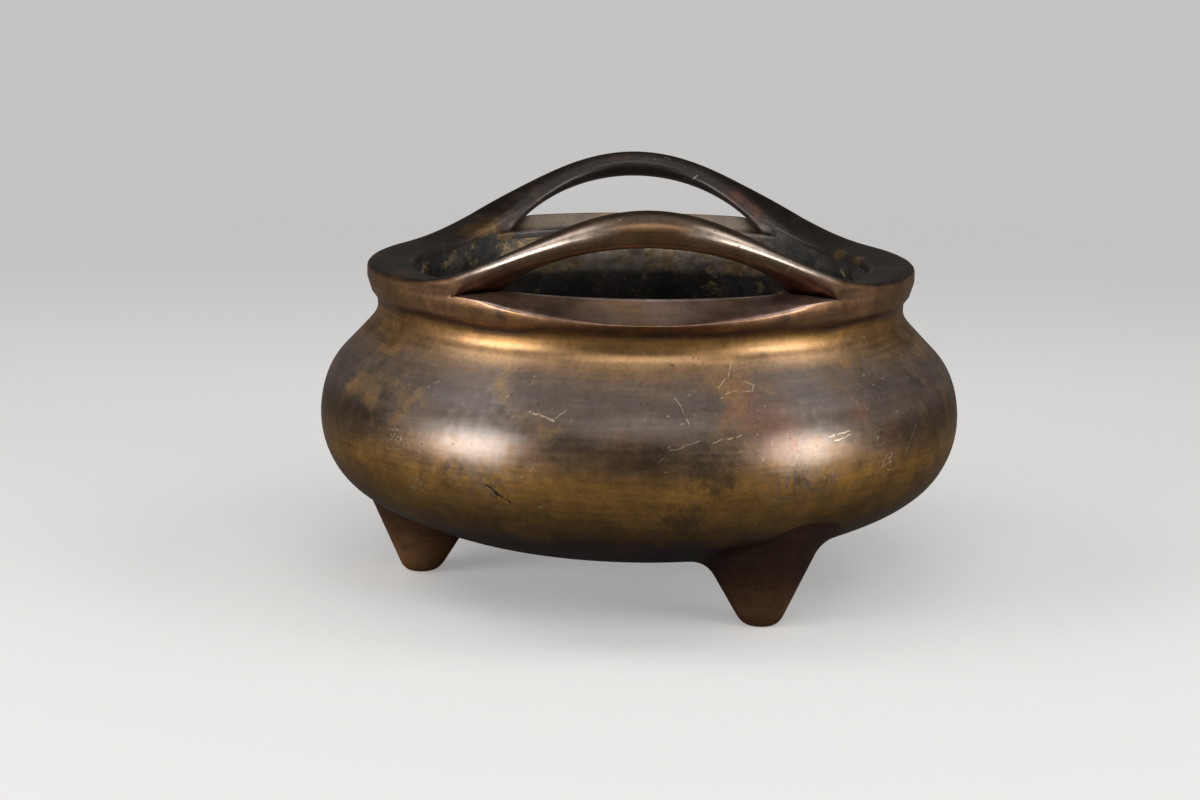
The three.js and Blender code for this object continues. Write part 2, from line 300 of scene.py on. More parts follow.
def finished(name, mesh, node, slotName, *materials):
    # Closes the mesh, scales it to metres and hands it to the frame in place of its node
    bmesh.ops.remove_doubles(mesh, verts=mesh.verts, dist=casting["joined"])
    bmesh.ops.recalc_face_normals(mesh, faces=mesh.faces)
    for face in mesh.faces:
        face.smooth = True
    for edge in mesh.edges:
        edge.smooth = edge.calc_face_angle(0) < radians(casting["sharpFrom"])
    bmesh.ops.scale(mesh, verts=mesh.verts, vec=(mm, mm, mm))
    data = bpy.data.meshes.new(name)
    mesh.to_mesh(data)
    mesh.free()
    piece = bpy.data.objects.new(name, data)
    bpy.context.scene.collection.objects.link(piece)
    for material in materials:
        data.materials.append(material)
    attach(piece, "root")
    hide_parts(node)


def archAngle(azimuth):
    # Degrees from the middle of the nearer arch, and that arch's rail
    fromFront = abs(atan2(cos(azimuth), -sin(azimuth))) * 180 / pi
    if fromFront <= 90:
        return fromFront, rails["front"]
    return 180 - fromFront, rails["back"]


def stationAzimuths():
    # Even steps round the pot, with two stations moved together where each handle ends
    steps = pot["steps"]
    halfGap = 1e-5
    stations = [2 * pi * k / steps for k in range(steps)]
    for middle in (0.5 * pi, 1.5 * pi):
        for side in (-1, 1):
            end = middle + side * radians(band["end"])
            inside = round((end - side * radians(0.5)) / (2 * pi) * steps)
            beyond = inside + side
            stations[inside % steps] = end - side * halfGap
            stations[beyond % steps] = end + side * halfGap
    return stations


def wave(point, size, height):
    # Cloudy unevenness from 0 to about the height, in millimetres
    return height * (0.5 + 0.5 * noise.noise(point / size))


def dented(point):
    # The point moved slightly towards the axis, as an uneven casting is, never outwards
    inward = Vector((-point.x, -point.y, 0)).normalized()
    return point + inward * sum(wave(point, size, depth) for size, depth in casting["waves"])


def crusted(point):
    # The point raised from the bowl's inside by what has burnt on there
    up = (Vector(pot["crustTowards"]) - point).normalized()
    return point + up * pot["crust"] * sum(wave(point, size, share) for size, share in pot["crustWaves"])


def makePot(outsideMaterial, insideMaterial):
    middleProfile, innerCount = potProfile(90, rails["front"])
    insideFrom = len(middleProfile) - innerCount - pot["insideRows"]
    mesh, place = spun(middleProfile, pot["steps"], 2 * pi)
    stations = stationAzimuths()
    profiles = {}
    for vert in mesh.verts:
        azimuth = atan2(vert.co.y, vert.co.x) % (2 * pi)
        k = round(azimuth / (2 * pi) * pot["steps"]) % pot["steps"]
        if k not in profiles:
            profiles[k] = potProfile(*archAngle(stations[k]))[0]
        point = profiles[k][vert[place]]
        at = Vector((point.x * cos(stations[k]), point.x * sin(stations[k]), point.y))
        if vert[place] >= insideFrom + pot["insideRows"]:
            at = crusted(at)
        elif point.x > 1:
            at = dented(at)
        vert.co = at
    for face in mesh.faces:
        if min(vert[place] for vert in face.verts) >= insideFrom:
            face.material_index = 1
    finished("castPot", mesh, "pot", "patinated_bronze", outsideMaterial, insideMaterial)


handles = {"steps": 164, "sectionSteps": 9, "sectionFills": (3, 3, 3, 3)}


def rounder(points, corners, share):
    # The section drawn towards the ellipse that touches the middles of its four sides
    a, b, c, d = corners
    middle = (a + b + c + d) / 4
    across = (b + c - a - d) / 4
    up = (c + d - a - b) / 4
    result = []
    for point in points:
        way = point - middle
        u = (way.x * up.y - way.y * up.x) / (across.x * up.y - across.y * up.x)
        v = (way - across * u).length / up.length
        result.append(point.lerp(middle + way * band["swell"] / hypot(u, v), share))
    return result


def handleSection(angle, rail):
    innerZ = springing(angle, rail["windowZ"], rail["windowRise"], rail["window"])
    outerZ = springing(angle, band["tipZ"], rail["undersideZ"] - band["tipZ"], band["tip"])
    narrowing = band["barNarrowing"] * barShare(angle)
    overWindow = smoothstep(1 - angle / rail["window"], 0, band["legRoundOver"])
    rounding = mix(band["legRound"], band["barRound"], overWindow)
    rounding *= smoothstep(band["end"] - angle, 0, 3)
    sunk = band["sunk"] * smoothstep(band["end"] - angle, 0, 2)
    sunk *= smoothstep(rail["windowZ"] - innerZ, 0, 0.8)
    corners = [
        (band["innerRadius"] + narrowing + sunk + leanFor(innerZ, angle, rail), innerZ, rounding),
        (band["outerRadius"] - narrowing + leanFor(outerZ, angle, rail), outerZ, rounding),
        *topCorners(angle, rail),
    ]
    points = roundCorners(corners, handles["sectionSteps"], handles["sectionFills"], True)
    share = smoothstep(1 - angle / band["end"], 0, band["ovalOver"])
    return rounder(points, [Vector(corner[:2]) for corner in corners], share)


def makeHandle(name, node, rail, turn, material):
    reach = radians(band["end"])
    section = handleSection(0, rail)
    mesh, place = spun(section + [section[0]], handles["steps"], 2 * reach)
    sections = {}
    last = len(section)
    for vert in mesh.verts:
        k = round(atan2(vert.co.y, vert.co.x) / (2 * reach) * handles["steps"])
        angle = k / handles["steps"] * 2 * reach - reach
        if k not in sections:
            sections[k] = handleSection(abs(angle) * 180 / pi, rail)
        point = sections[k][vert[place] % last]
        azimuth = angle - 0.5 * pi + turn
        vert.co = dented(Vector((point.x * cos(azimuth), point.x * sin(azimuth), point.y)))
    bmesh.ops.remove_doubles(mesh, verts=mesh.verts, dist=casting["joined"])
    bmesh.ops.holes_fill(mesh, edges=[edge for edge in mesh.edges if edge.is_boundary], sides=0)
    finished(name, mesh, node, "handled_bronze", material)


feet = {
    "circleRadius": 60.4, "lean": 0.1, "soleRound": 2.6, "coneRadius": 4.9, "coneSlope": 0.53,
    "filletDown": 4.0, "filletOut": 5.0, "jointGuess": 20.0, "jointTries": 12,
    "tucked": 1.5, "sunk": 0.5, "coreRise": 1,  # how far the foot's upper edge and middle go into the pot
    "steps": 96, "soleSteps": 6, "coneSteps": 22, "filletSteps": 12,
    "places": {  # node, and degrees round the pot from its right side
        "frontRightFoot": ("front_right_foot", -59),
        "backRightFoot": ("back_right_foot", 59),
        "leftFoot": ("left_foot", 180),
    },
}


def footSide(angle, direction):
    # The line up a foot's side: rounded sole, cone, then a fillet that runs out along the belly
    out = Vector((cos(radians(angle)), sin(radians(angle)), 0))
    way = Vector((cos(direction), sin(direction), 0))

    def axis(z):
        return out * (feet["circleRadius"] - feet["lean"] * z) + Vector((0, 0, z))

    def onBelly(radius, z):
        flat = axis(z) + way * radius
        return Vector((flat.x, flat.y, undersideZ(hypot(flat.x, flat.y))))

    def cone(z):
        return axis(z) + way * (feet["coneRadius"] + feet["coneSlope"] * z)

    z = feet["jointGuess"]
    for _ in range(feet["jointTries"]):  # the cone and the belly meet where this settles
        z = onBelly(feet["coneRadius"] + feet["coneSlope"] * z, z).z
    joint = cone(z)
    start = cone(z - feet["filletDown"])
    end = onBelly(feet["coneRadius"] + feet["coneSlope"] * z + feet["filletOut"], z)
    lowest = feet["soleRound"]
    corner = cone(0)
    flat = axis(0) + way * (feet["coneRadius"] - 0.8 * feet["soleRound"])
    line = [axis(0), axis(0) + way * (0.25 * feet["coneRadius"])]
    for i in range(feet["soleSteps"] + 1):
        t = i / feet["soleSteps"]
        line.append(flat * (1 - t) ** 2 + corner * (2 * t * (1 - t)) + cone(lowest) * t**2)
    for i in range(1, feet["coneSteps"] + 1):
        line.append(cone(lowest).lerp(start, i / feet["coneSteps"]))
    for i in range(1, feet["filletSteps"] + 1):
        t = i / feet["filletSteps"]
        line.append(start * (1 - t) ** 2 + joint * (2 * t * (1 - t)) + end * t**2)
    line.append(end + (end - joint).normalized() * feet["tucked"] + Vector((0, 0, feet["sunk"])))
    line.append(axis(onBelly(0, z).z + feet["coreRise"]))
    return line


def makeFoot(name, node, angle, material):
    # Spins a plain cone with as many points, then moves each to its own side line
    profile = [Vector((i, i)) for i in range(len(footSide(angle, 0)))]
    profile[-1].x = 0
    mesh, place = spun(profile, feet["steps"], 2 * pi)
    sides = {}
    for vert in mesh.verts:
        k = round(atan2(vert.co.y, vert.co.x) / (2 * pi) * feet["steps"]) % feet["steps"]
        if k not in sides:
            sides[k] = footSide(angle, 2 * pi * k / feet["steps"])
        vert.co = sides[k][vert[place]]
    finished(name, mesh, node, "foot_bronze", material)


class Term:
    # A node's output that Python's operators work on
    def __init__(self, tree, socket):
        self.tree = tree
        self.socket = socket

    def maths(self, operation, *others):
        return addNode(self.tree, "ShaderNodeMath", {"operation": operation}, self, *others)

    def vector(self, operation, *others):
        return addNode(self.tree, "ShaderNodeVectorMath", {"operation": operation}, self, *others)

    def __add__(self, other):
        return self.maths("ADD", other)

    def __sub__(self, other):
        return self.maths("SUBTRACT", other)

    def __rsub__(self, other):
        return self.maths("MULTIPLY", -1.0) + other

    def __mul__(self, other):
        return self.maths("MULTIPLY", other)

    def __truediv__(self, other):
        return self.maths("DIVIDE", other)

    __radd__ = __add__
    __rmul__ = __mul__


def addNode(tree, kind, settings, *places, **named):
    # places fill the sockets in use in order, named fill sockets by name with _ for a space
    node = tree.nodes.new(kind)
    for key, value in settings.items():
        setattr(node, key, value)
    inputs = [socket for socket in node.inputs if socket.enabled]
    filled = list(zip(inputs, places))
    filled += [(node.inputs[key.replace("_", " ")], value) for key, value in named.items()]
    for socket, value in filled:
        if isinstance(value, Term):
            tree.links.new(value.socket, socket)
        elif socket.type == "RGBA" and len(value) == 3:
            socket.default_value = (*value, 1)
        else:
            socket.default_value = value
    return Term(tree, next(socket for socket in node.outputs if socket.enabled))


def noiseAt(point, size, detail=3.0, roughness=0.5):
    # Cloudy noise round 0.5 whose features are about the size, in millimetres
    return addNode(
        point.tree, "ShaderNodeTexNoise", {},
        Vector=point, Scale=1 / size, Detail=detail, Roughness=roughness,
    )


def shifted(point, distance):
    return point.vector("ADD", (distance, 0.7 * distance, -0.4 * distance))


def ramped(term, low, high):
    # 0 at low, 1 at high and smooth between, also where low is the larger
    return addNode(
        term.tree, "ShaderNodeMapRange", {"interpolation_type": "SMOOTHSTEP"},
        term, float(low), float(high), 0.0, 1.0,
    )


def blended(share, a, b):
    return addNode(share.tree, "ShaderNodeMix", {"data_type": "RGBA"}, share, a, b)


def byHeight(height, stops):
    # A colour that changes over the height in millimetres
    reach = 120  # above the highest stop
    term = addNode(height.tree, "ShaderNodeValToRGB", {}, height / reach)
    ramp = term.socket.node.color_ramp
    while len(ramp.elements) < len(stops):
        ramp.elements.new(0.5)
    for element, (level, colour) in zip(ramp.elements, stops):
        element.position = level / reach
        element.color = (*colour, 1)
    return term


def newMaterial(name):
    material = bpy.data.materials.new(name)
    material.use_nodes = True
    tree = material.node_tree
    tree.nodes.clear()
    return material, tree


def finishMaterial(tree, shader):
    output = tree.nodes.new("ShaderNodeOutputMaterial")
    tree.links.new(shader.socket, output.inputs["Surface"])


def objectPoint(tree):
    # The place on the object in millimetres, and its parts
    place = Term(tree, tree.nodes.new("ShaderNodeTexCoord").outputs["Object"])
    point = place.vector("SCALE", 1000.0)
    parts = addNode(tree, "ShaderNodeSeparateXYZ", {}, point).socket.node.outputs
    return point, [Term(tree, part) for part in parts]


def facing(tree, point):
    # How far the surface faces up, and how far it faces the vessel's axis, from -1 to 1
    normal = Term(tree, tree.nodes.new("ShaderNodeNewGeometry").outputs["Normal"])
    upwards = normal.vector("DOT_PRODUCT", (0.0, 0.0, 1.0))
    outwards = point.vector("MULTIPLY", (1.0, 1.0, 0.0)).vector("NORMALIZE")
    return upwards, normal.vector("DOT_PRODUCT", outwards) * -1.0


# Marks on the belly and lip, placed by pixels of the photograph. Widths and radii are millimetres.
marks = {
    "unrollRadius": 84,
    "wallFrom": 3,  # above the pot's bottom, where the camera's rays are first tried against it
    "raySteps": 4000, "rayStep": 0.25,
    "scratches": [
        ([(731, 361), (729, 374), (719, 388)], 0.3),
        ([(720, 398), (733, 390), (752, 391), (753, 384), (744, 381)], 0.25),
        ([(670, 395), (680, 404), (689, 424)], 0.22),
        ([(713, 443), (747, 434)], 0.22),
        ([(669, 451), (700, 441)], 0.22),
        ([(916, 424), (900, 465)], 0.3),
        ([(829, 437), (849, 430)], 0.3),
        ([(835, 441), (852, 433)], 0.25),
        ([(530, 412), (541, 415), (554, 421)], 0.6),
        ([(556, 418), (567, 409)], 0.25),
        ([(429, 386), (441, 381)], 0.25),
    ],
    "cracks": [([(485, 484), (498, 495), (510, 503)], 0.7), ([(524, 472), (521, 479)], 0.4)],
    # pale specks; the smallest of them is a painted glint
    "specksAndGlints": [(395, 438, 3), (418, 484, 4), (829, 479, 2.2), (888, 466, 4), (942, 441, 2.4), (541, 507, 1)],
    "stains": [
        (445, 467, 1.6), (502, 410, 1.3), (705, 474, 5), (722, 486, 3.5), (685, 522, 5), (797, 480, 2.2),
        (500, 315, 2.6), (787, 316, 1.8),
    ],
    "golds": [(464, 313, 2.4), (477, 321, 1.6), (512, 321, 2)],
    # painted highlight: greyer pale patches where the side lamps' highlights fall on the belly
    "paintedHighlight": [(480, 446, 12), (803, 454, 11)],
    "reds": [(775, 424, 9), (858, 410, 4), (892, 434, 4), (745, 408, 7)],
}


def onPot(pixelX, pixelY):
    # Where the camera's ray through a pixel meets the pot, unrolled: millimetres round it, and height
    pixel = Vector((pixelX - 0.5 * photo["width"], 0.5 * photo["height"] - pixelY, -photo["focalPixels"]))
    ray = cameraPlace().to_3x3() @ pixel.normalized()
    point = Vector(photo["position"]) / mm
    radii = [(p.y, p.x) for p in outside if p.y > pot["bottomZ"] + marks["wallFrom"]]
    radii.append((band["topZ"], band["outerRadius"]))
    for _ in range(marks["raySteps"]):
        point += ray * marks["rayStep"]
        wall = next((radius for z, radius in radii if z > point.z), 0)
        if hypot(point.x, point.y) < wall:
            break
    return atan2(point.x, -point.y) * marks["unrollRadius"], point.z


def strokeShare(flat, places, width):
    # 1 on a line through the places, 0 a little beside it
    nearest = None
    ends = [Vector((*onPot(*place), 0)) for place in places]
    for a, b in zip(ends, ends[1:]):
        way = b - a
        offset = flat.vector("SUBTRACT", tuple(a))
        along = offset.vector("DOT_PRODUCT", tuple(way / way.length_squared))
        along = along.maths("MINIMUM", 1.0).maths("MAXIMUM", 0.0)
        foot = addNode(flat.tree, "ShaderNodeVectorMath", {"operation": "SCALE"}, tuple(way), along)
        distance = offset.vector("DISTANCE", foot)
        nearest = distance if nearest is None else nearest.maths("MINIMUM", distance)
    return ramped(nearest, 0.6 * width, 0.2 * width)


def spotShare(flat, pixelX, pixelY, radius, ragged):
    # 1 in a ragged spot, 0 outside it
    distance = flat.vector("DISTANCE", (*onPot(pixelX, pixelY), 0))
    return ramped(distance + ragged * radius, 1.3 * radius, 0.2 * radius)


def strongest(shares):
    total = shares[0]
    for share in shares[1:]:
        total = total.maths("MAXIMUM", share)
    return total


def markShares(point, x, y, z):
    # Shares of each kind of mark, from 0 to 1
    around = x.maths("ARCTAN2", y * -1.0) * marks["unrollRadius"]
    flat = addNode(point.tree, "ShaderNodeCombineXYZ", {}, around, z)
    cloud = addNode(point.tree, "ShaderNodeTexNoise", {}, Vector=point, Scale=0.35).socket.node
    shake = Term(point.tree, cloud.outputs["Color"]).vector("SCALE", 1.2)
    shake = shake.vector("SUBTRACT", (0.6, 0.6, 0.0))
    flat = flat.vector("ADD", shake).vector("MULTIPLY", (1, 1, 0))
    ragged = (noiseAt(point, 2.2, 4.0, 0.6) - 0.5) * 3.0
    broken = ramped(noiseAt(point, 1.6, 2.0), 0.36, 0.5)
    speckled = ramped(noiseAt(point, 0.9, 2.0), 0.56, 0.64)
    shares = {}
    for kind in ("scratches", "cracks"):
        shares[kind] = strongest([strokeShare(flat, *line) for line in marks[kind]]) * broken
    for kind in ("specksAndGlints", "stains", "paintedHighlight", "golds", "reds"):
        shares[kind] = strongest([spotShare(flat, *spot, ragged) for spot in marks[kind]])
    shares["specksAndGlints"] = shares["specksAndGlints"] * speckled
    return shares


def hairlines(point):
    # Fine pale scratches that lie in every direction
    shares = []
    for turn, stretch in (((0.3, 0.9, 0.2), 30.0), ((1.2, 0.2, 0.7), 24.0), ((0.5, -0.8, 1.4), 36.0)):
        kind = {"rotation_type": "EULER_XYZ"}
        turned = addNode(point.tree, "ShaderNodeVectorRotate", kind, Vector=point, Rotation=turn)
        drawn = turned.vector("MULTIPLY", (1 / stretch, 1.0, 1.0))
        shares.append(ramped(noiseAt(drawn, 1.3, 1.0), 0.73, 0.77))
    return strongest(shares) * ramped(noiseAt(point, 16, 2.0), 0.5, 0.62)


# Colours of each bronze, over the height and where a face is rubbed, smoke-darkened or patinated, with
# painted shade and painted highlights among them.
# patina is the heights where it begins, is full, starts to fade and is gone. wander is how far they stray.
potLook = {
    "zones": [
        # the stops at 15 and 25 millimetres are painted shade, the belly darker towards the bottom, and the
        # stop at 79.6 is painted shade under the lip
        (15, (0.01, 0.008, 0.007)), (25, (0.012, 0.009, 0.007)), (34, (0.18, 0.096, 0.023)),
        (44, (0.4, 0.205, 0.046)), (50, (0.175, 0.103, 0.052)), (56, (0.094, 0.064, 0.046)),
        (65, (0.093, 0.07, 0.057)), (69, (0.135, 0.088, 0.058)), (72.5, (0.34, 0.195, 0.09)),
        (77.5, (0.3, 0.15, 0.036)), (79.6, (0.08, 0.046, 0.037)), (81.5, (0.29, 0.147, 0.063)),
        (88, (0.25, 0.13, 0.063)),
    ],
    "wander": 7.0, "patina": (53, 60, 68, 72),
    # painted shade and light: the colours for faces looking up and down are painted shade, the bar-face,
    # rail-edge and back-rail colours are painted highlights and light, and the dark inner-face colour is
    # smoke deposit with painted shade
    "top": (0.052, 0.041, 0.037), "shadedBarTop": (0.11, 0.072, 0.046), "underside": (0.1, 0.03, 0.02),
    # painted highlight: the grey of the pale patches where the side lamps' highlights fall
    "paintedSheen": (0.25, 0.13, 0.063), "paintedHighlight": (0.19, 0.16, 0.14), "litBackRail": (0.17, 0.135, 0.1),
    "slant": (0.27, 0.165, 0.12), "edge": (0.75, 0.58, 0.5), "slantShare": 1,
    "sootAndShade": (0.024, 0.02, 0.018), "dark": (0.03, 0.022, 0.018), "pale": (0.62, 0.52, 0.38),
    "gold": (0.36, 0.185, 0.04), "goldShare": 0.4, "red": (0.17, 0.07, 0.04), "redShare": 0.4,
    "roughness": 0.35, "patinaRoughness": 0.5, "metallic": 0.92, "patinaMetallic": 0.5, "coat": 0.5,
}
handleLook = {
    "zones": [
        (84, (0.25, 0.13, 0.063)), (90, (0.24, 0.13, 0.068)),
        (95, (0.19, 0.125, 0.082)), (105, (0.155, 0.078, 0.032)),
    ],
    "wander": 3.0, "patina": (88, 90, 92, 95),
    # painted shade and light: the colours for faces looking up and down are painted shade, the bar-face and
    # edge colours painted highlights, and the dark inner-face colour smoke deposit with painted shade
    "top": (0.052, 0.041, 0.037), "shadedBarTop": (0.11, 0.072, 0.046), "underside": (0.1, 0.03, 0.02),
    "paintedSheen": (0.44, 0.36, 0.3),
    "slant": (0.27, 0.165, 0.125), "edge": (0.6, 0.44, 0.38), "slantShare": 0,
    "sootAndShade": (0.024, 0.02, 0.018), "dark": (0.03, 0.022, 0.018), "pale": (0.6, 0.5, 0.4),
    "gold": (0.34, 0.18, 0.06), "goldShare": 0.2, "red": (0.2, 0.07, 0.035), "redShare": 0.4,
    "roughness": 0.34, "patinaRoughness": 0.4, "metallic": 0.92, "patinaMetallic": 0.85, "coat": 0.4,
}
footLook = {
    # the foot darkens upwards towards the belly: painted shade
    "zones": [(0, (0.17, 0.084, 0.036)), (8, (0.115, 0.055, 0.026)), (18, (0.058, 0.028, 0.018))],
    "wander": 4.0, "patina": (2, 4, 10, 14),
    "sootAndShade": (0.024, 0.02, 0.018), "dark": (0.02, 0.016, 0.013), "pale": (0.3, 0.24, 0.17),
    "gold": (0.16, 0.09, 0.035), "goldShare": 0.25, "red": (0.12, 0.04, 0.02), "redShare": 0.4,
    "roughness": 0.42, "patinaRoughness": 0.48, "metallic": 0.9, "patinaMetallic": 0.8, "coat": 0.3,
}
# painted light: a lighter, redder copy of the feet's colours for the left foot, as lit from the left
litLeftFootLook = {
    **footLook,
    "zones": [(0, (0.34, 0.165, 0.068)), (8, (0.25, 0.12, 0.052)), (18, (0.12, 0.058, 0.03))],
}

# Where the tones of the lip and the handles begin and are full: slopes are how far a face looks up, from
# -1 to 1, angles are degrees from the middle of an arch, and the rest are millimetres.
tones = {
    "bandZ": (84.5, 86.5),
    "topSlope": (0.35, 0.8), "barTopZ": (91, 101),
    "undersideSlope": (-0.25, -0.6), "undersideFadeZ": (98, 92),
    "slantSlope": (0.1, 0.5), "slantZ": (81.5, 83), "slantAngle": (band["end"] - 0.3, band["end"] - 1.3),
    "edgeSlope": (0.15, 0.5), "edgeZ": (82, 83.5), "edge": 0.7,
    "ridgeReach": (0.8, 0.3), "ridgeZ": (86.6, 87.2),
    "creaseAngle": (16, 27), "creaseRadius": (68.5, 73), "crease": 0.4,
    "sheenLow": (-0.3, 0.15), "sheenHigh": (0.85, 0.5), "sheenZ": (89, 93), "sheenY": (-20, -30),
    "sheenInner": (5, 19), "sheenOuter": (52, 38), "paintedSheen": 0.85,
    "sootAndShadeFacing": (0.1, 0.5), "sootAndShadeZ": (84.5, 88), "sootAndShadeRadius": (64.2, 63.2), "sootAndShadeThroatZ": (80, 82),
    "backRailY": (20, 40), "backRailZ": (88.9, 90), "backRailAngle": (34, 33),
    "backBarY": (15, 35), "backBarZ": (88, 94), "shadedBackBar": 0.8,
}


def lipTones(colour, look, marked, point, x, y, z):
    # The colour with the tones of the lip and the handles over it, many of them painted shade and painted
    # highlights, and how far each place is darkened by smoke deposit and painted shade
    upwards, inwards = facing(point.tree, point)
    across = x.maths("ABSOLUTE")
    radius = point.vector("MULTIPLY", (1, 1, 0)).vector("LENGTH")
    fromArch = across.maths("ARCTAN2", y.maths("ABSOLUTE")) * (180 / pi)
    onBand = ramped(z, *tones["bandZ"])
    # painted shade: faces looking up on the lip and the bars are darkened
    top = blended(ramped(z, *tones["barTopZ"]), look["top"], look["shadedBarTop"])
    colour = blended(ramped(upwards, *tones["topSlope"]) * onBand, colour, top)
    # painted shade: faces looking down on the lip and the bars are darkened to a dark reddish brown
    underside = ramped(upwards, *tones["undersideSlope"]) * onBand * ramped(z, *tones["undersideFadeZ"])
    colour = blended(underside, colour, look["underside"])
    onRail = ramped(fromArch, *tones["slantAngle"]) * look["slantShare"]
    slant = onRail * ramped(upwards, *tones["slantSlope"]) * ramped(z, *tones["slantZ"])
    colour = blended(slant, colour, look["slant"])
    # painted highlight: pale lines along the rail's ridge and its crease, where light catches the edges
    fromRidge = (radius - band["ridgeRadius"]).maths("ABSOLUTE")
    ridge = ramped(fromRidge, *tones["ridgeReach"]) * ramped(z, *tones["ridgeZ"])
    crease = ramped(fromArch, *tones["creaseAngle"]) * ramped(radius, *tones["creaseRadius"])
    edges = ridge.maths("MAXIMUM", crease * tones["crease"]) * onRail
    edges = edges * ramped(upwards, *tones["edgeSlope"]) * ramped(z, *tones["edgeZ"])
    colour = blended(edges * tones["edge"], colour, look["edge"])
    # painted highlight: a pale band along the middle of the front bar's face, where the side lamps reflect
    paintedSheen = ramped(upwards, *tones["sheenLow"]) * ramped(upwards, *tones["sheenHigh"])
    paintedSheen = paintedSheen * ramped(z, *tones["sheenZ"]) * ramped(y, *tones["sheenY"])
    paintedSheen = paintedSheen * ramped(across, *tones["sheenInner"]) * ramped(across, *tones["sheenOuter"])
    colour = blended(paintedSheen * tones["paintedSheen"], colour, look["paintedSheen"])
    # faces looking into the vessel and the throat under the lip are darkened: partly smoke deposit, partly
    # painted shade
    inside = ramped(inwards, *tones["sootAndShadeFacing"]) * ramped(z, *tones["sootAndShadeZ"])
    throat = ramped(radius, *tones["sootAndShadeRadius"]) * ramped(z, *tones["sootAndShadeThroatZ"])
    sootAndShadeShare = inside.maths("MAXIMUM", throat)
    colour = blended(sootAndShadeShare, colour, look["sootAndShade"])
    if marked:
        # painted light: a pale patch on the back rail, where light falls on it behind the front window
        litBackRail = ramped(y, *tones["backRailY"]) * ramped(z, *tones["backRailZ"])
        litBackRail = litBackRail * ramped(fromArch, *tones["backRailAngle"])
        return blended(litBackRail, colour, look["litBackRail"]), sootAndShadeShare
    # painted shade: the whole back handle is darkened with the dark inner-face colour
    shadedBackBar = ramped(y, *tones["backBarY"]) * ramped(z, *tones["backBarZ"]) * tones["shadedBackBar"]
    return blended(shadedBackBar, colour, look["sootAndShade"]), sootAndShadeShare


# The size in millimetres, detail and roughness of each cloudy pattern, and where its patches begin
grains = {
    "zones": (38, 3.0, 0.55), "golds": (17, 6.0, 0.62), "reds": (13, 6.0, 0.6), "spots": (3.4, 5.0, 0.65),
    "mottle": (6.5, 7.0, 0.68), "fine": (1.1, 3.0, 0.6), "lines": (0.9, 3.0, 0.6), "swells": (9, 3.0),
    "goldFrom": (0.52, 0.7), "redFrom": (0.56, 0.72), "spotFrom": (0.64, 0.72), "pitGroups": (0.5, 0.62),
    "lineStretch": (0.045, 0.045, 1.0), "pitScale": 0.42, "pitReach": (0.12, 0.05),
}
# Strengths of what lies over every bronze: shades and roughness as shares, relief in millimetres
wear = {
    "hairlines": 0.28, "spots": 0.6, "pits": 0.7,
    "paintedHighlight": 0.6, "golds": 0.7, "reds": 0.5, "stains": 0.5, "scratches": 0.5, "specksAndGlints": 0.55,
    "mottleShade": 1.4, "fineShade": 0.7, "lineShade": 0.75,
    "mottleRough": 0.3, "lineRough": 0.12, "pitRough": 0.2, "sootRough": 0.15, "neckRough": 0.03,
    "neckFromZ": (67, 71), "neckToZ": (80, 78), "plainBelowZ": (20, 34), "sootMetallic": 0.4,
    "swells": 0.12, "mottleRelief": 0.05, "fineRelief": 0.015, "lineRelief": 0.014,
    "pitRelief": 0.12, "scratchRelief": 0.02,
}


